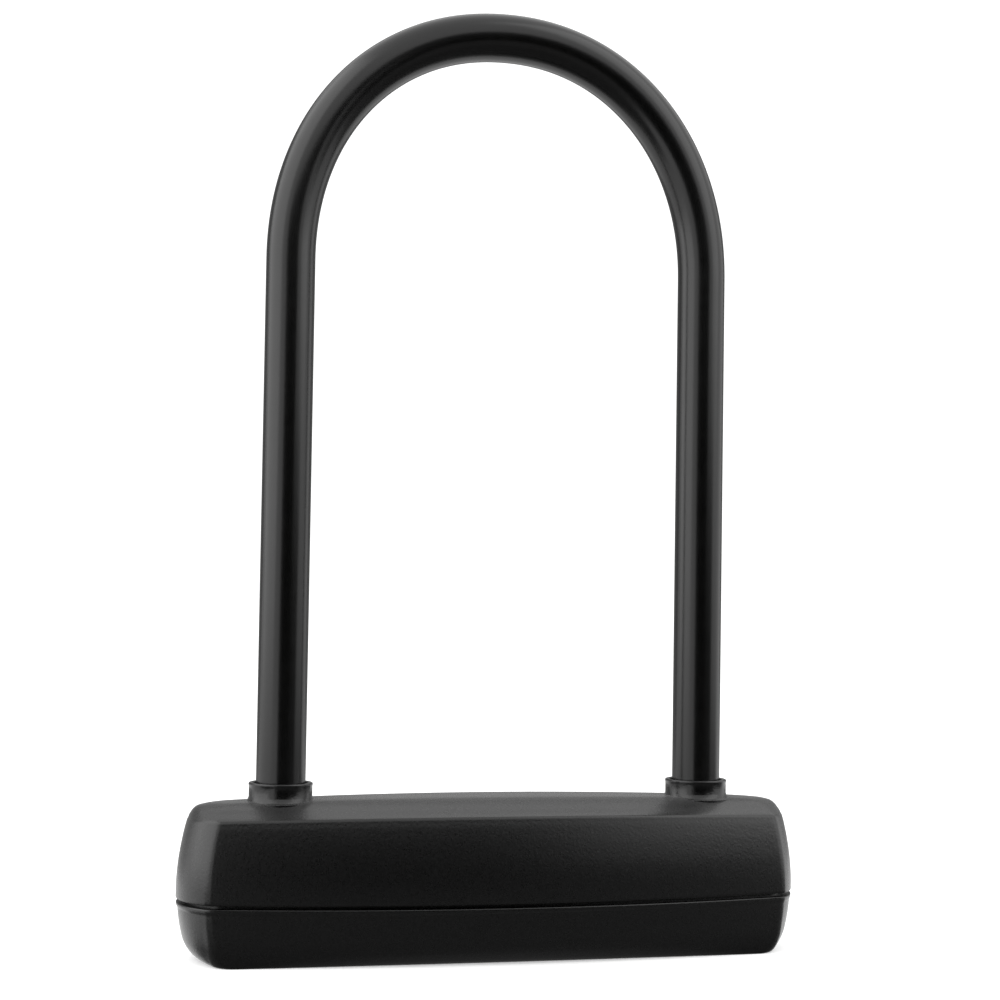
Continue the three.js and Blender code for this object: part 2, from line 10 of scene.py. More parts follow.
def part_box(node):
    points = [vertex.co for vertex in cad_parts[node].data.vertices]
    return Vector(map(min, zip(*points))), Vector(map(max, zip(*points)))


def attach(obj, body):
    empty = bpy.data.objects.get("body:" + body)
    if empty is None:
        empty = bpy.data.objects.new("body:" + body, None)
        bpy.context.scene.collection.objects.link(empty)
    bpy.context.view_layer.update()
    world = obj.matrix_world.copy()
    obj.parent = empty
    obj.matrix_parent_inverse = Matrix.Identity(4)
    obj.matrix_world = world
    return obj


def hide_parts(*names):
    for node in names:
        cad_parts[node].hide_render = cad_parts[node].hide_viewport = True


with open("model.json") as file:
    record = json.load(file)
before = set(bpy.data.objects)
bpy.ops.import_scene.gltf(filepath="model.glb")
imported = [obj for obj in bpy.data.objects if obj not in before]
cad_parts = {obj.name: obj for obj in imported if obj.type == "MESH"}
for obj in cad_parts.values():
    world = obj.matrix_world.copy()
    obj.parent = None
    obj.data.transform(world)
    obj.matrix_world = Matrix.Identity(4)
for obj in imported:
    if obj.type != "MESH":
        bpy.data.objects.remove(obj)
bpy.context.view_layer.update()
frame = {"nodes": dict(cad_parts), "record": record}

MM = 0.001

# ---- sizes from the frame ----
COVER_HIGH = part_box("upper_cover")[1]
COAT_LOW, COAT_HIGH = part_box("shackle_coating")
BAR_LOW, BAR_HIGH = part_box("shackle_bar")

HALF_LENGTH = COVER_HIGH.x
HALF_DEPTH = COVER_HIGH.y
RIM_Z = COVER_HIGH.z
COAT_RADIUS = COAT_HIGH.y
BAR_RADIUS = BAR_HIGH.y
LEG_X = COAT_HIGH.x - COAT_RADIUS
ARCH_RISE = 73.3 * MM
ARCH_START = COAT_HIGH.z - COAT_RADIUS - ARCH_RISE
ARCH_POWER = 2.1
END_SCREW_X = (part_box("right_end_screw")[0].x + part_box("right_end_screw")[1].x) / 2
BASE_SCREW_X = (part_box("right_base_screw")[0].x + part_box("right_base_screw")[1].x) / 2

# ---- sizes of the mouldings ----
TOP_Z = RIM_Z - 4.3 * MM
CROWN_DROP = 1.9 * MM
FACE_RADIUS = 412 * MM
END_RADIUS = 24.5 * MM
CORNER_RADIUS = 4 * MM
FOOT_HALF_LENGTH = 88 * MM
FOOT_HALF_DEPTH = 18.9 * MM
FOOT_FACE_RADIUS = 2400 * MM
FOOT_END_RADIUS = 60 * MM
FOOT_CORNER_RADIUS = 6 * MM
SAG_START_Z = 22 * MM
SAG_FULL_Z = 44 * MM
COLLAR_RADIUS = 9.7 * MM
COLLAR_BORE = 8.3 * MM

# the shutter's slot along X, in millimetres
SLOT_LEFT = -10.6
SLOT_RIGHT = 31.4

# half the thickness of the studio's floor and boards
BOARD_HALF = 2 * MM


# ---- mesh helpers ----

def new_object(name, mesh):
    obj = bpy.data.objects.new(name, mesh)
    bpy.context.scene.collection.objects.link(obj)
    soften(obj)
    return obj


def soften(obj, smooth_angle=35):
    """Smooth shading, but for edges sharper than the angle in degrees."""
    obj.data.shade_smooth()
    obj.data.set_sharp_from_angle(angle=math.radians(smooth_angle))


def mesh_from(verts, faces, name):
    mesh = bpy.data.meshes.new(name)
    mesh.from_pydata([tuple(v) for v in verts], [], faces)
    bm = bmesh.new()
    bm.from_mesh(mesh)
    bmesh.ops.remove_doubles(bm, verts=bm.verts, dist=1e-7)
    bmesh.ops.dissolve_degenerate(bm, edges=bm.edges, dist=1e-8)
    bmesh.ops.recalc_face_normals(bm, faces=bm.faces)
    bm.to_mesh(mesh)
    bm.free()
    return mesh


def spline(points, steps):
    """Catmull-Rom curve through the points, each a tuple of the same length."""
    ends = [points[0], *points, points[-1]]
    out = []
    for i in range(len(points) - 1):
        a, b, c, d = ends[i:i + 4]
        for k in range(steps):
            t = k / steps
            out.append(tuple(
                0.5 * (2 * q + (r - p) * t + (2 * p - 5 * q + 4 * r - s) * t ** 2
                       + (3 * q - p - 3 * r + s) * t ** 3)
                for p, q, r, s in zip(a, b, c, d)
            ))
    out.append(tuple(points[-1]))
    return out


def lathe(profile, name, x=0.0, sides=64, closed=False):
    """A turned mesh about an upright axis. profile is [(radius, z), ...]."""
    verts = []
    faces = []
    for radius, z in profile:
        for i in range(sides):
            a = 2 * math.pi * i / sides
            verts.append((x + radius * math.cos(a), radius * math.sin(a), z))
    count = len(profile)
    for k in range(count if closed else count - 1):
        low = k * sides
        high = ((k + 1) % count) * sides
        for i in range(sides):
            j = (i + 1) % sides
            faces.append((low + i, low + j, high + j, high + i))
    return mesh_from(verts, faces, name)


def box_mesh(low, high, name):
    verts = [(x, y, z) for x in (low[0], high[0]) for y in (low[1], high[1]) for z in (low[2], high[2])]
    faces = [(0, 1, 3, 2), (4, 6, 7, 5), (0, 4, 5, 1), (2, 3, 7, 6), (0, 2, 6, 4), (1, 5, 7, 3)]
    return mesh_from(verts, faces, name)


def boolean(obj, mesh, operation):
    """Joins or cuts obj's mesh with a closed mesh, and applies the result."""
    tool = bpy.data.objects.new("tool", mesh)
    bpy.context.scene.collection.objects.link(tool)
    modifier = obj.modifiers.new("bool", "BOOLEAN")
    modifier.operation = operation
    modifier.solver = "EXACT"
    modifier.object = tool
    apply_modifiers(obj)
    bpy.data.objects.remove(tool)
    bpy.data.meshes.remove(mesh)


def apply_modifiers(obj):
    graph = bpy.context.evaluated_depsgraph_get()
    made = bpy.data.meshes.new_from_object(obj.evaluated_get(graph))
    old = obj.data
    obj.modifiers.clear()
    obj.data = made
    bpy.data.meshes.remove(old)


# ---- the crossbar covers ----

def arc(centre, radius, start, stop, count):
    """Points on an arc between two angles, both ends included."""
    return [
        centre + radius * Vector((math.cos(start + (stop - start) * i / count),
                                  math.sin(start + (stop - start) * i / count)))
        for i in range(count + 1)
    ]


def outline(half_length, half_depth, end_radius, face_radius, corner_radius):
    """A rounded bar from above: bowed faces and ends with rounded upright edges."""
    face = Vector((0, half_depth - face_radius))
    end = Vector((half_length - end_radius, 0))
    from_face = face_radius - corner_radius
    from_end = end_radius - corner_radius
    to_end = end - face
    apart = to_end.length
    along = (from_face ** 2 - from_end ** 2 + apart ** 2) / (2 * apart)
    across = math.sqrt(from_face ** 2 - along ** 2)
    to_end.normalize()
    corner = face + to_end * along + Vector((to_end.y, -to_end.x)) * across
    face_angle = math.atan2(corner.y - face.y, corner.x - face.x)
    end_angle = math.atan2(corner.y - end.y, corner.x - end.x)
    quarter = arc(end, end_radius, 0, end_angle, 12)
    quarter += arc(corner, corner_radius, end_angle, face_angle, 8)[1:]
    quarter += arc(face, face_radius, face_angle, math.pi / 2, 48)[1:]
    half = quarter + [Vector((-p.x, p.y)) for p in reversed(quarter[:-1])]
    return half + [Vector((p.x, -p.y)) for p in reversed(half[1:-1])]


PLAN = outline(HALF_LENGTH, HALF_DEPTH, END_RADIUS, FACE_RADIUS, CORNER_RADIUS)
FOOT_PLAN = outline(
    FOOT_HALF_LENGTH, FOOT_HALF_DEPTH, FOOT_END_RADIUS, FOOT_FACE_RADIUS, FOOT_CORNER_RADIUS)


def shrunk(half_length, half_depth):
    """The crossbar's plan scaled to another half length and half depth."""
    return [Vector((p.x * half_length / HALF_LENGTH, p.y * half_depth / HALF_DEPTH)) for p in PLAN]


def ring(z_mm, length_mm, depth_mm):
    """A level ring: the plan at a height, scaled to a half length and half depth."""
    return (z_mm * MM, shrunk(length_mm * MM, depth_mm * MM))


def inset(z_mm, distance_mm):
    """A level ring that lies inside the full plan by a distance, at its ends and its middle."""
    return (z_mm * MM, shrunk(HALF_LENGTH - distance_mm * MM, HALF_DEPTH - distance_mm * MM))


def towards_foot(z_mm, share):
    """A ring part of the way from the full plan to the straighter outline of the flat foot."""
    return (z_mm * MM, [p.lerp(q, share) for p, q in zip(PLAN, FOOT_PLAN)])


def foot_ring(scale):
    """A ring in the flat underside, inside the edge of the foot."""
    return (0.0, [q * scale for q in FOOT_PLAN])


def fair(rings, steps):
    """More rings on smooth curves through the given ones."""
    flat = [(z, *(c for p in points for c in p)) for z, points in rings]
    return [
        (max(row[0], 0.0), [Vector(row[i:i + 2]) for i in range(1, len(row), 2)])
        for row in spline(flat, steps)
    ]


def loft(rings, name):
    """A closed surface through level rings (z, outline). Both ends close on a line along X.

    The rings sag towards the ends, as the crowned top does.
    """
    closed = [
        (z, [Vector((p.x * 0.97, 0)) for p in points]) for z, points in (rings[0], rings[-1])
    ]
    verts = []
    faces = []
    count = len(PLAN)
    for level, (z, points) in enumerate([closed[0], *rings, closed[1]]):
        share = min(max((z - SAG_START_Z) / (SAG_FULL_Z - SAG_START_Z), 0), 1)
        for i, (x, y) in enumerate(points):
            height = z - CROWN_DROP * share * (x / HALF_LENGTH) ** 2
            verts.append((x, y, height))
            if level:
                j = (i + 1) % count
                low, high = (level - 1) * count, level * count
                faces.append((low + i, low + j, high + j, high + i))
    return mesh_from(verts, faces, name)


def upper_cover():
    top = TOP_Z / MM
    outside = fair([
        inset(18.85, 0), inset(24, 0.08), inset(30, 0.55), inset(36, 1.4), inset(40.5, 2.25),
        inset(42.6, 2.75), inset(43.5, 3.0), ring(43.95, 93.75, 24.15), ring(44.25, 93.65, 23.5),
        ring(44.75, 93.5, 22.0), ring(45.7, 93.0, 18.8), ring(46.8, 92.2, 15.3),
        ring(47.6, 90.9, 12.2), ring(top - 0.2, 88.5, 9.4),
    ], 5)
    crown = [ring(top - 0.04, 86, 7.6), ring(top, 83, 5.6), ring(top, 82, 3.6), ring(top, 81.4, 1.8)]
    lip = [inset(18.4, 0.55), inset(18.43, 0.3), inset(18.55, 0.1)]
    inside = [
        inset(41.5, 5.4), inset(36, 3.8), inset(24, 2.5), inset(18.42, 2.4),
    ]
    roof = [ring(top - 2.6, 81, 1.5), ring(top - 2.6, 81.5, 6), ring(45.1, 87, 12), ring(43.7, 89.3, 18)]
    rings = roof + inside + lip + outside + crown
    cover = new_object("upper_cover_shell", loft(rings, "upper_cover_shell"))
    for x in (-LEG_X, LEG_X):
        boolean(cover, lathe(cylinder(11.2, 41.4, 46.2), "socket", x, sides=48), "UNION")
        boolean(cover, lathe(cylinder(9.6, 38, 45.4), "bush_room", x, sides=48), "DIFFERENCE")
        boolean(cover, lathe(cylinder(COLLAR_BORE / MM, 40, 60), "bore", x, sides=96), "DIFFERENCE")
        boolean(cover, collar_ring(x), "UNION")
    for side in (-1, 1):
        boolean(cover, lathe(cylinder(3.1, 18.8, 45.4), "boss", side * END_SCREW_X, sides=32), "UNION")
        boolean(cover, lathe(cylinder(1.55, 10, 34.5), "pilot", side * END_SCREW_X, sides=24), "DIFFERENCE")
    soften(cover, 40)
    return cover


def cylinder(radius, low, high):
    """The profile of a plain cylinder, from sizes in millimetres."""
    return [(0, low * MM), (radius * MM, low * MM), (radius * MM, high * MM), (0, high * MM)]


def collar_ring(x):
    """The collar: a fillet that rises out of the crowned top, then the wall and the rounded rim."""
    neck = COLLAR_RADIUS - 0.1 * MM
    edge = 0.4 * MM
    reach, rise, foot_z, steps = 1.7 * MM, 1.6 * MM, 46.7 * MM, 12
    profile = [(COLLAR_BORE, 46 * MM), (neck + reach, 46 * MM)]
    for k in range(steps + 1):
        out = (1 - k / steps) ** 2
        profile.append((neck + reach * out, foot_z + rise * (1 - out) ** 3.2))
    profile += [(neck, 51.2 * MM), (neck + 0.03 * MM, 51.6 * MM), (COLLAR_RADIUS - 0.02 * MM, 51.9 * MM)]
    for k in range(7):
        a = math.pi / 2 * k / 6
        profile.append((COLLAR_RADIUS - edge + edge * math.cos(a), RIM_Z - edge + edge * math.sin(a)))
    for k in range(7):
        a = math.pi / 2 * (1 - k / 6)
        profile.append((COLLAR_BORE + edge - edge * math.cos(a), RIM_Z - edge + edge * math.sin(a)))
    profile.append((COLLAR_BORE, 50 * MM))
    return lathe(profile, "collar_ring", x, sides=96, closed=True)


def lower_cover():
    outside = fair([
        towards_foot(0, 1), towards_foot(0.35, 0.83), towards_foot(1.3, 0.65), towards_foot(2.8, 0.48),
        towards_foot(4.5, 0.35), towards_foot(6.5, 0.25), towards_foot(10, 0.155),
        towards_foot(13.5, 0.09), towards_foot(15.3, 0.07),
    ], 5)
    lip = [(15.55, 0.068), (15.75, 0.062), (15.95, 0.048), (16.2, 0.032), (16.5, 0.021), (16.8, 0.016)]
    lip += [(17.17, 0.018), (17.29, 0.027), (17.37, 0.042), (17.4, 0.07)]
    lip = [towards_foot(z, share) for z, share in lip]
    tongue = [inset(17.4, 2.9), inset(20.1, 2.9), inset(20.2, 3.0), inset(20.2, 4.1), inset(20.1, 4.2)]
    inside = [inset(13, 4.2), inset(8, 4.6), inset(4.5, 6.4), inset(2.4, 9)]
    floor = [ring(2.4, 84, 12), ring(2.4, 82, 5)]
    under = [foot_ring(0.9), foot_ring(0.985)]
    rings = under + outside + lip + tongue + inside + floor
    cover = new_object("lower_cover_shell", loft(rings, "lower_cover_shell"))
    boolean(cover, rounded_box((-12.8, -12, 0.6), (33.4, 12, 5), 0.3, "pad"), "UNION")
    end_seat = {"boss": 3.1, "boss_top": 18.4, "hole": 1.55, "hole_top": 25}
    base_seat = {"boss": 4, "boss_top": 8.1, "hole": 2.05, "hole_top": 12}
    seats = []
    for side in (-1, 1):
        seats += [(side * END_SCREW_X, end_seat), (side * BASE_SCREW_X, base_seat)]
    for x, seat in seats:
        boolean(cover, lathe(cylinder(seat["boss"], 1, seat["boss_top"]), "boss", x, sides=32), "UNION")
    boolean(cover, box_mm((SLOT_LEFT, -9.6, 1.2), (SLOT_RIGHT, 9.6, 2.8), "slot"), "DIFFERENCE")
    boolean(cover, mouth_cutter(), "DIFFERENCE")
    boolean(cover, lathe(cylinder(8.5, 2, 6), "keyhole", sides=64), "DIFFERENCE")
    for x, seat in seats:
        recess = screw_recess(seat["hole"], seat["hole_top"])
        boolean(cover, lathe(recess, "recess", x, sides=48), "DIFFERENCE")
    soften(cover, 40)
    return cover


def screw_recess(hole, top):
    """The profile of a screw's hole with room for its sunk head, from sizes in millimetres."""
    mouth, seat = 3.25, 3.05
    recess = [(0, -1), (mouth, -1), (mouth, -0.1), (seat, 0.15), (seat, 0.7), (hole, 2.4)]
    recess += [(hole, top), (0, top)]
    return [(r * MM, z * MM) for r, z in recess]


def box_mm(low, high, name):
    return box_mesh([v * MM for v in low], [v * MM for v in high], name)


def rounded_box(low, high, radius, name):
    """A box in millimetres with all edges rounded."""
    mesh = box_mm(low, high, name)
    bm = bmesh.new()
    bm.from_mesh(mesh)
    bmesh.ops.bevel(bm, geom=bm.edges[:], offset=radius * MM, segments=3, affect="EDGES", profile=0.5)
    bm.to_mesh(mesh)
    bm.free()
    return mesh


def mouth_cutter():
    """The slot's mouth in the flat underside, with a small chamfer round it."""
    low, high = (SLOT_LEFT, -7.8), (SLOT_RIGHT, 7.8)
    chamfer = 0.4
    verts = []
    for z, grow in ((-1, chamfer), (0, chamfer), (chamfer, 0), (1.4, 0)):
        for x, y in ((low[0] - grow, low[1] - grow), (high[0] + grow, low[1] - grow),
                     (high[0] + grow, high[1] + grow), (low[0] - grow, high[1] + grow)):
            verts.append((x * MM, y * MM, z * MM))
    faces = [(3, 2, 1, 0), (12, 13, 14, 15)]
    for level in range(3):
        for i in range(4):
            j = (i + 1) % 4
            faces.append((level * 4 + i, level * 4 + j, level * 4 + 4 + j, level * 4 + 4 + i))
    return mesh_from(verts, faces, "mouth")


def dust_cover():
    """The keyhole shutter: a thin plate with a narrower face and five finger grooves."""
    low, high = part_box("dust_cover")
    low, high = low / MM, high / MM
    face_half = 7.5
    shutter = new_object("keyhole_shutter", rounded_box(
        (low.x, low.y, low.z + 0.8), (high.x, high.y, high.z), 0.25, "keyhole_shutter"))
    face = rounded_box((low.x, -face_half, low.z), (high.x, face_half, low.z + 1.2), 0.25, "face")
    boolean(shutter, face, "UNION")
    for k in range(5):
        groove = rounded_box((-6.6 + 3 * k, -5, low.z - 1), (-5.4 + 3 * k, 5, low.z + 0.4), 0.35, "groove")
        boolean(shutter, groove, "DIFFERENCE")
    soften(shutter, 50)
    return shutter


# ---- the shackle ----

def u_line(low_z, arch_steps, leg_steps):
    """Points and tangents of the U's centre line, from the left foot to the right foot."""
    points = []
    for i in range(leg_steps):
        points.append(Vector((-LEG_X, 0, low_z + (ARCH_START - low_z) * i / leg_steps)))
    power = 2 / ARCH_POWER
    for i in range(arch_steps + 1):
        turn = math.pi * i / arch_steps
        c, s = math.cos(turn), math.sin(turn)
        x = -LEG_X * math.copysign(abs(c) ** power, c)
        points.append(Vector((x, 0, ARCH_START + ARCH_RISE * abs(s) ** power)))
    for i in range(leg_steps):
        points.append(Vector((LEG_X, 0, ARCH_START - (ARCH_START - low_z) * (i + 1) / leg_steps)))
    tangents = []
    for i in range(len(points)):
        before = points[max(i - 1, 0)]
        after = points[min(i + 1, len(points) - 1)]
        tangents.append((after - before).normalized())
    return points, tangents


def sweep(rows, sides=64):
    """The vertices and faces of a tube. Each row is ((point, tangent), (shift along it, radius))."""
    verts = []
    faces = []
    across = Vector((0, 1, 0))
    for (point, tangent), (shift, radius) in rows:
        side = tangent.cross(across)
        centre = point + tangent * shift
        for i in range(sides):
            a = 2 * math.pi * i / sides
            verts.append(centre + radius * (math.cos(a) * side + math.sin(a) * across))
    for k in range(len(rows) - 1):
        for i in range(sides):
            j = (i + 1) % sides
            faces.append((k * sides + i, k * sides + j, (k + 1) * sides + j, (k + 1) * sides + i))
    return verts, faces


def shackle_coating():
    """The vinyl sleeve: outer skin, rounded lips and inner skin, one closed surface."""
    line = list(zip(*u_line(COAT_LOW.z, 120, 24)))
    inner = BAR_RADIUS + 0.1 * MM
    lip = (COAT_RADIUS - inner) / 2
    middle = (COAT_RADIUS + inner) / 2
    turns = [math.pi * k / 8 for k in range(9)]
    rows = [(item, (0, COAT_RADIUS)) for item in line[1:-1]]
    rows += [(line[-1], (lip * math.sin(a) - lip, middle + lip * math.cos(a))) for a in turns]
    rows += [(item, (0, inner)) for item in reversed(line[1:-1])]
    rows += [(line[0], (lip - lip * math.sin(a), middle - lip * math.cos(a))) for a in turns]
    verts, faces = sweep(rows + rows[:1])
    return new_object("shackle_vinyl", mesh_from(verts, faces, "shackle_vinyl"))


def shackle_bar():
    """The hardened bar: rounded chamfered feet and a bolt notch in each."""
    foot_height = 1.6
    line = list(zip(*u_line(BAR_LOW.z + foot_height * MM, 96, 12)))
    radius = BAR_RADIUS
    foot = [(-foot_height, 0.0), (-foot_height, radius / MM - 1.9), (-1.45, radius / MM - 1.55),
            (-0.2, radius / MM - 0.15), (0.15, radius / MM)]
    rows = [(line[0], (s * MM, r * MM)) for s, r in foot]
    rows += [(item, (0, radius)) for item in line[1:-1]]
    rows += [(line[-1], (-s * MM, r * MM)) for s, r in reversed(foot)]
    verts, faces = sweep(rows)
    bar = new_object("shackle_steel", mesh_from(verts, faces, "shackle_steel"))
    bolt_z = (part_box("right_bolt")[0].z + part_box("right_bolt")[1].z) / 2 / MM
    mouth, floor, half_height = 7.5, 1.9, 4.3
    for side in (-1, 1):
        edges = sorted((side * (LEG_X / MM - mouth), side * (LEG_X / MM - floor)))
        low = (edges[0], -8, bolt_z - half_height)
        high = (edges[1], 8, bolt_z + half_height)
        boolean(bar, rounded_box(low, high, 0.6, "notch"), "DIFFERENCE")
    soften(bar)
    return bar


# ---- small turned pieces ----

def keyhole_ring():
    low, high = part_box("keyhole_ring")
    outer = high.x
    bore = 6.6 * MM
    profile = [(outer - 0.2 * MM, low.z), (outer, low.z + 0.2 * MM), (outer, high.z), (bore, high.z)]
    profile += [(bore, low.z + 0.5 * MM), (bore + 0.15 * MM, low.z + 0.15 * MM), (bore + 0.4 * MM, low.z)]
    return new_object("keyhole_bezel", lathe(profile, "keyhole_bezel", sides=96, closed=True))


def leg_bush(node, name):
    low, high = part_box(node)
    x = (low.x + high.x) / 2
    outer = (high.x - low.x) / 2
    inner = COAT_RADIUS + 0.4 * MM
    edge = 0.35 * MM
    profile = [(inner, low.z + edge), (inner + edge, low.z), (outer - edge, low.z), (outer, low.z + edge)]
    profile += [(outer, high.z - edge), (outer - edge, high.z), (inner + 2 * edge, high.z)]
    profile += [(inner + edge, high.z - 0.1 * MM), (inner, high.z - 2 * edge)]
    return new_object(name, lathe(profile, name, x, sides=64, closed=True))


def screw(node, name):
    low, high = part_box(node)
    x = (low.x + high.x) / 2 / MM
    base, tip = low.z / MM, high.z / MM
    is_short = tip < 15
    shank = 1.8 if is_short else 1.3
    thread = 0.18
    profile = [(0, base + 0.02), (2.2, base), (2.62, base + 0.05), (2.75, base + 0.2), (shank, base + 1.9)]
    z = base + 2.6
    while z < tip - 1.6:
        profile += [(shank - thread, z), (shank, z + 0.3), (shank - thread, z + 0.6)]
        z += 0.9
    profile += [(shank * 0.75, tip - 1), (shank * 0.3, tip), (0, tip)]
    obj = new_object(name, lathe([(r * MM, h * MM) for r, h in profile], name, x * MM, sides=40))
    for half_x, half_y in ((1.6, 0.35), (0.35, 1.6)):
        low, high = (x - half_x, -half_y, base - 1), (x + half_x, half_y, base + 1.1)
        boolean(obj, rounded_box(low, high, 0.12, "cross"), "DIFFERENCE")
    soften(obj)
    return obj


# ---- materials ----

def material(name, roughness, metallic=0.0, specular=0.5):
    mat = bpy.data.materials.new(name)
    mat.use_nodes = True
    tree = mat.node_tree
    shader = tree.nodes["Principled BSDF"]
    shader.inputs["Roughness"].default_value = roughness
    shader.inputs["Metallic"].default_value = metallic
    shader.inputs["Specular IOR Level"].default_value = specular
    return mat, tree, shader


def noise(tree, scale, detail=3.0, rough=0.55, stretch=(1, 1, 1)):
    where = tree.nodes.new("ShaderNodeTexCoord")
    mapping = tree.nodes.new("ShaderNodeMapping")
    mapping.inputs["Scale"].default_value = stretch
    made = tree.nodes.new("ShaderNodeTexNoise")
    made.inputs["Scale"].default_value = scale
    made.inputs["Detail"].default_value = detail
    made.inputs["Roughness"].default_value = rough
    tree.links.new(where.outputs["Object"], mapping.inputs["Vector"])
    tree.links.new(mapping.outputs["Vector"], made.inputs["Vector"])
    return made.outputs["Fac"]


def ramp(tree, value, stops):
    made = tree.nodes.new("ShaderNodeValToRGB")
    made.color_ramp.elements[0].position = stops[0][0]
    made.color_ramp.elements[0].color = stops[0][1]
    made.color_ramp.elements[1].position = stops[-1][0]
    made.color_ramp.elements[1].color = stops[-1][1]
    for position, colour in stops[1:-1]:
        made.color_ramp.elements.new(position).color = colour
    tree.links.new(value, made.inputs["Fac"])
    return made.outputs["Color"]


def grey(value, warmth=0.0):
    return (value * (1 + warmth), value, value * (1 - warmth), 1)


def spread(tree, value, low, high):
    """The value, stretched from 0 to 1 onto low to high."""
    made = tree.nodes.new("ShaderNodeMapRange")
    made.inputs["To Min"].default_value = low
    made.inputs["To Max"].default_value = high
    tree.links.new(value, made.inputs["Value"])
    return made.outputs["Result"]


def by_height(tree, stops):
    """A value that changes with the height on the object. stops is [(millimetres, value), ...]."""
    where = tree.nodes.new("ShaderNodeTexCoord")
    parts = tree.nodes.new("ShaderNodeSeparateXYZ")
    tree.links.new(where.outputs["Object"], parts.inputs["Vector"])
    share = tree.nodes.new("ShaderNodeMapRange")
    share.inputs["From Max"].default_value = RIM_Z
    tree.links.new(parts.outputs["Z"], share.inputs["Value"])
    return ramp(tree, share.outputs["Result"], [(z * MM / RIM_Z, grey(v)) for z, v in stops])


def scaled(tree, value, factor):
    made = tree.nodes.new("ShaderNodeMath")
    made.operation = "MULTIPLY"
    tree.links.new(value, made.inputs[0])
    tree.links.new(factor, made.inputs[1])
    return made.outputs["Value"]


def bump(tree, shader, height, strength, distance):
    made = tree.nodes.new("ShaderNodeBump")
    made.inputs["Strength"].default_value = strength
    made.inputs["Distance"].default_value = distance
    tree.links.new(height, made.inputs["Height"])
    tree.links.new(made.outputs["Normal"], shader.inputs["Normal"])


def moulded_plastic():
    """Black moulded plastic: a fine grain, and a grazing sheen taken out by height at the foot, seam and
    collars, which is painted shade that keeps them darker.
    """
    mat, tree, shader = material("moulded_plastic", 0.45)
    shader.inputs["IOR"].default_value = 1.5
    colour = ramp(tree, noise(tree, 900, 2), [(0.3, grey(0.0005)), (0.7, grey(0.0015))])
    tree.links.new(colour, shader.inputs["Base Color"])
    smoother_collars = by_height(tree, [(47, 1), (49.5, 0.72)])
    rough = scaled(tree, spread(tree, noise(tree, 1300, 4), 0.22, 0.36), smoother_collars)
    tree.links.new(rough, shader.inputs["Roughness"])
    sheen_level = 0.14
    # Painted shade: the sheen drops to nothing in the seam and at the foot, and to a third on the collars,
    # so these stay darker.
    painted_seam_shade = [(16.8, sheen_level), (17.3, 0), (18.5, 0), (19.2, sheen_level)]
    sheen_and_painted_shade_stops = [(1.5, 0), (8, sheen_level), *painted_seam_shade, (48, sheen_level), (50, 0.3 * sheen_level)]
    tree.links.new(by_height(tree, sheen_and_painted_shade_stops), shader.inputs["Sheen Weight"])
    shader.inputs["Sheen Roughness"].default_value = 0.4
    bump(tree, shader, noise(tree, 1200, 3, 0.6), 0.5, 0.1 * MM)
    return mat


def vinyl():
    """Black satin vinyl, a little glossier, with a faint orange-peel surface."""
    mat, tree, shader = material("vinyl", 0.4)
    colour = ramp(tree, noise(tree, 500, 2), [(0.3, grey(0.0004)), (0.7, grey(0.001))])
    tree.links.new(colour, shader.inputs["Base Color"])
    tree.links.new(spread(tree, noise(tree, 150, 4), 0.2, 0.28), shader.inputs["Roughness"])
    bump(tree, shader, noise(tree, 900, 3, 0.6), 0.1, 0.1 * MM)
    return mat


def metal(name, colour_low, colour_high, rough_low, rough_high, scale, stretch=(1, 1, 1)):
    mat, tree, shader = material(name, 0.4, metallic=1.0)
    tint = ramp(tree, noise(tree, scale, 4, 0.6, stretch), [(0.3, colour_low), (0.7, colour_high)])
    tree.links.new(tint, shader.inputs["Base Color"])
    rough = spread(tree, noise(tree, scale * 0.6, 4, 0.6, stretch), rough_low, rough_high)
    tree.links.new(rough, shader.inputs["Roughness"])
    bump(tree, shader, noise(tree, scale * 3, 3, 0.6, stretch), 0.3, 0.05 * MM)
    return mat


def nylon():
    mat, tree, shader = material("nylon", 0.5)
    colour = ramp(tree, noise(tree, 400, 2), [(0.3, grey(0.006)), (0.7, grey(0.010))])
    tree.links.new(colour, shader.inputs["Base Color"])
    tree.links.new(spread(tree, noise(tree, 300, 3), 0.45, 0.6), shader.inputs["Roughness"])
    bump(tree, shader, noise(tree, 1200, 2), 0.2, 0.08 * MM)
    return mat


# ---- putting the pieces on the frame ----

def dress(piece, mat, slot, body, *replaced):
    """Paints a piece, rides it on its body and hides the CAD solids it stands for."""
    piece.data.materials.clear()
    piece.data.materials.append(mat)
    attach(piece, body)
    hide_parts(*replaced)


def dress_cad(node, mat):
    """A carried-over CAD solid: welded, flat shaded and painted."""
    obj = frame["nodes"][node]
    obj.data.materials.clear()
    obj.data.materials.append(mat)
    weld = obj.modifiers.new("weld", "WELD")
    weld.merge_threshold = 1e-6
    for polygon in obj.data.polygons:
        polygon.use_smooth = False


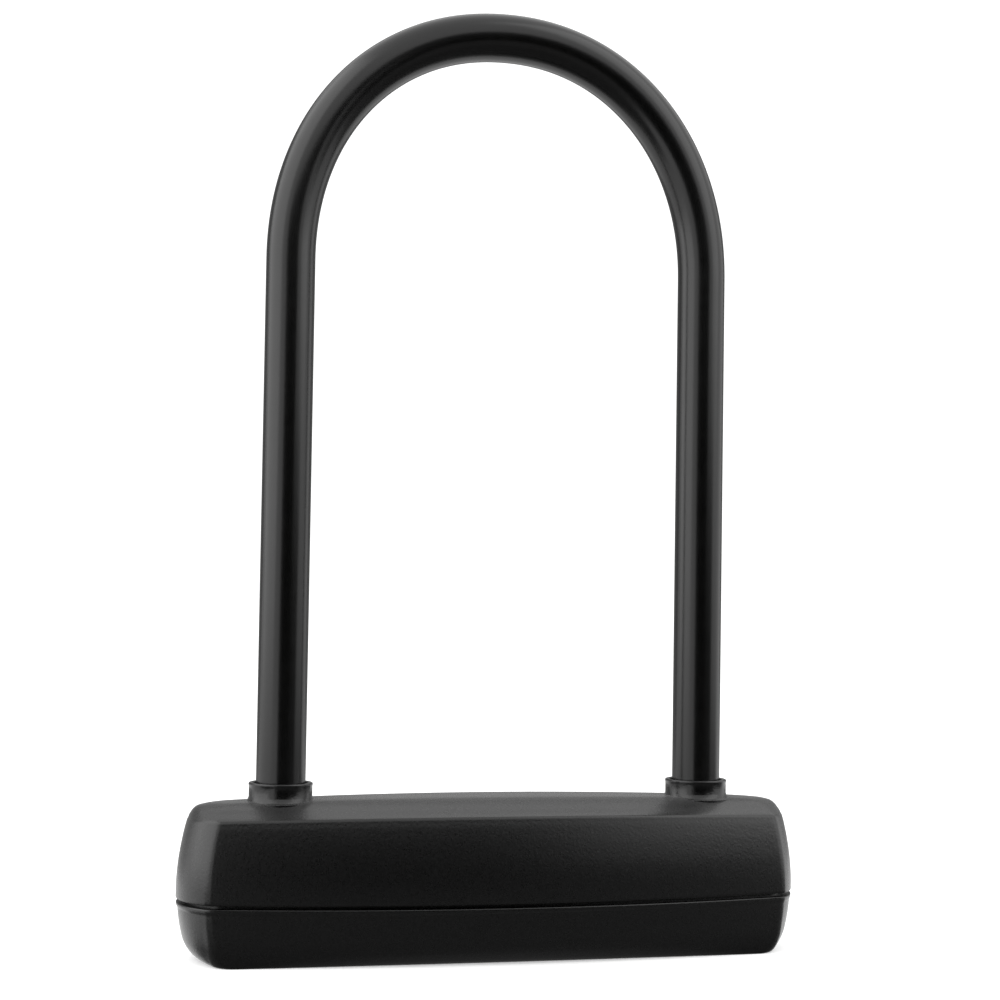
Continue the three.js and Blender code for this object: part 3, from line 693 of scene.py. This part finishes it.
def build_object():
    plastic = moulded_plastic()
    coat = vinyl()
    bush = nylon()
    dark_steel = metal("dark_steel", grey(0.16), grey(0.24), 0.3, 0.45, 400, (1, 1, 0.15))
    bright_steel = metal("bright_steel", grey(0.5, 0.02), grey(0.64, 0.02), 0.22, 0.38, 700)
    zinc = metal("zinc", grey(0.36), grey(0.48), 0.45, 0.62, 500)
    brass_low, brass_high = (0.50, 0.33, 0.12, 1), (0.62, 0.44, 0.18, 1)
    brass = metal("brass", brass_low, brass_high, 0.25, 0.4, 600, (1, 1, 4))

    dress(upper_cover(), plastic, "cover_moulding", "crossbar", "upper_cover")
    dress(lower_cover(), plastic, "cover_moulding", "crossbar", "lower_cover")
    dress(dust_cover(), plastic, "cover_moulding", "keyhole_shutter", "dust_cover")
    dress(shackle_coating(), coat, "shackle_vinyl", "shackle", "shackle_coating")
    dress(shackle_bar(), dark_steel, "hardened_steel", "shackle", "shackle_bar")
    dress(keyhole_ring(), bright_steel, "bright_steel", "crossbar", "keyhole_ring")
    for side in ("left", "right"):
        dress(leg_bush(side + "_leg_bush", side + "_collar_bush"), bush, "bush_nylon", "crossbar",
              side + "_leg_bush")
        for kind in ("end", "base"):
            node = f"{side}_{kind}_screw"
            dress(screw(node, node + "_threaded"), bright_steel, "bright_steel", "crossbar", node)

    by_slot = {
        "cover_moulding": plastic, "shackle_vinyl": coat, "hardened_steel": dark_steel,
        "bright_steel": bright_steel, "zinc_casting": zinc, "lock_brass": brass, "bush_nylon": bush,
    }
    for part in frame["record"]["subparts"]:
        if not frame["nodes"][part["node"]].hide_render:
            dress_cad(part["node"], by_slot[part["material_slot"]])


# ---- studio ----

def panel(name, width, height, centre, target):
    """A thin rectangular board that faces a point."""
    mesh = box_mesh((-width / 2, -height / 2, -BOARD_HALF), (width / 2, height / 2, BOARD_HALF), name)
    obj = bpy.data.objects.new(name, mesh)
    bpy.context.scene.collection.objects.link(obj)
    obj.location = centre
    obj.rotation_mode = "QUATERNION"
    obj.rotation_quaternion = (Vector(target) - Vector(centre)).to_track_quat("-Z", "Y")
    return obj


def area_light(name, energy, width, height, centre, target):
    light = bpy.data.lights.new(name, "AREA")
    light.shape = "RECTANGLE"
    light.size, light.size_y = width, height
    light.energy = energy
    obj = bpy.data.objects.new(name, light)
    bpy.context.scene.collection.objects.link(obj)
    obj.location = centre
    obj.rotation_mode = "QUATERNION"
    obj.rotation_quaternion = (Vector(target) - Vector(centre)).to_track_quat("-Z", "Y")
    obj.visible_camera = False


def glow(name, brightness):
    """A plain emitter for the boards."""
    mat = bpy.data.materials.new(name)
    mat.use_nodes = True
    tree = mat.node_tree
    tree.nodes.remove(tree.nodes["Principled BSDF"])
    emission = tree.nodes.new("ShaderNodeEmission")
    emission.inputs["Strength"].default_value = brightness
    tree.links.new(emission.outputs["Emission"], tree.nodes["Material Output"].inputs["Surface"])
    return mat


def reflector(name, brightness, width, height, centre, target):
    """A grey board that shows only in reflections, as the dark side of a studio does."""
    board = panel(name, width, height, centre, target)
    board.data.materials.append(glow(name, brightness))
    board.visible_camera = False
    board.visible_diffuse = False
    board.visible_shadow = False


def studio():
    world = bpy.data.worlds.new("white_studio")
    bpy.context.scene.world = world
    world.use_nodes = True
    world.node_tree.nodes["Background"].inputs["Color"].default_value = (1, 1, 1, 1)
    world.node_tree.nodes["Background"].inputs["Strength"].default_value = 1.25

    floor = panel("floor", 30, 30, (0, 0, -BOARD_HALF - 0.1 * MM), (0, 0, -1))
    mat, tree, shader = material("pale_floor", 0.9, specular=0.1)
    colour = ramp(tree, noise(tree, 6, 2), [(0.3, grey(0.66)), (0.7, grey(0.7))])
    shader.inputs["Emission Color"].default_value = (1, 1, 1, 1)
    shader.inputs["Emission Strength"].default_value = 0.45
    tree.links.new(colour, shader.inputs["Base Color"])
    floor.data.materials.append(mat)
    floor.visible_glossy = False

    middle = (0, 0, 0.12)
    reflector("front_flag", 0.004, 1.6, 2.1, (-0.09, -1.6, -0.3), (-0.09, 0, -0.3))
    reflector("near_right_flag", 0.02, 0.95, 1.6, (0.98, -1.3, -0.52), (0, 0, -0.52))
    reflector("far_right_flag", 0.28, 1.1, 1.1, (1.52, -0.52, -0.6), (0, 0, -0.6))
    reflector("table_flag", 0.14, 1.1, 0.28, (0.05, -0.18, -0.05), (0.05, -0.18, 1))
    reflector("under_flag", 0.2, 2.0, 0.95, (0.7, -0.355, -0.08), (0.7, -0.355, 1))
    reflector("back_flag", 0.3, 5.0, 1.5, (0.6, 1.6, 0.55), (0.6, 0, 0.12))

    area_light("left_softbox", 28, 2.6, 2.6, (-1.6, -0.14, 1.1), middle)
    area_light("right_softbox", 11, 1.3, 2.4, (1.36, -0.85, 1.35), middle)


def camera():
    """A view from a little to the left of the front, level with the shackle's lower legs."""
    yaw, pitch, roll = 0.2443, 0.0408, 0.0152
    distance, aim_x, height = 0.6461, 0.00077, 0.1132
    forward = Vector((math.sin(yaw) * math.cos(pitch), math.cos(yaw) * math.cos(pitch), math.sin(pitch)))
    level_right = Vector((math.cos(yaw), -math.sin(yaw), 0))
    level_up = level_right.cross(forward)
    right = level_right * math.cos(roll) + level_up * math.sin(roll)
    up = level_up * math.cos(roll) - level_right * math.sin(roll)
    data = bpy.data.cameras.new("camera")
    data.sensor_width = 36
    data.lens = 74.65
    obj = bpy.data.objects.new("camera", data)
    bpy.context.scene.collection.objects.link(obj)
    place = Vector((aim_x - distance * math.sin(yaw), -distance * math.cos(yaw), height))
    turn = Matrix((right, up, -forward)).transposed().to_4x4()
    obj.matrix_world = Matrix.Translation(place) @ turn
    bpy.context.scene.camera = obj


build_object()
studio()
camera()
bpy.context.scene.view_settings.view_transform = "Standard"
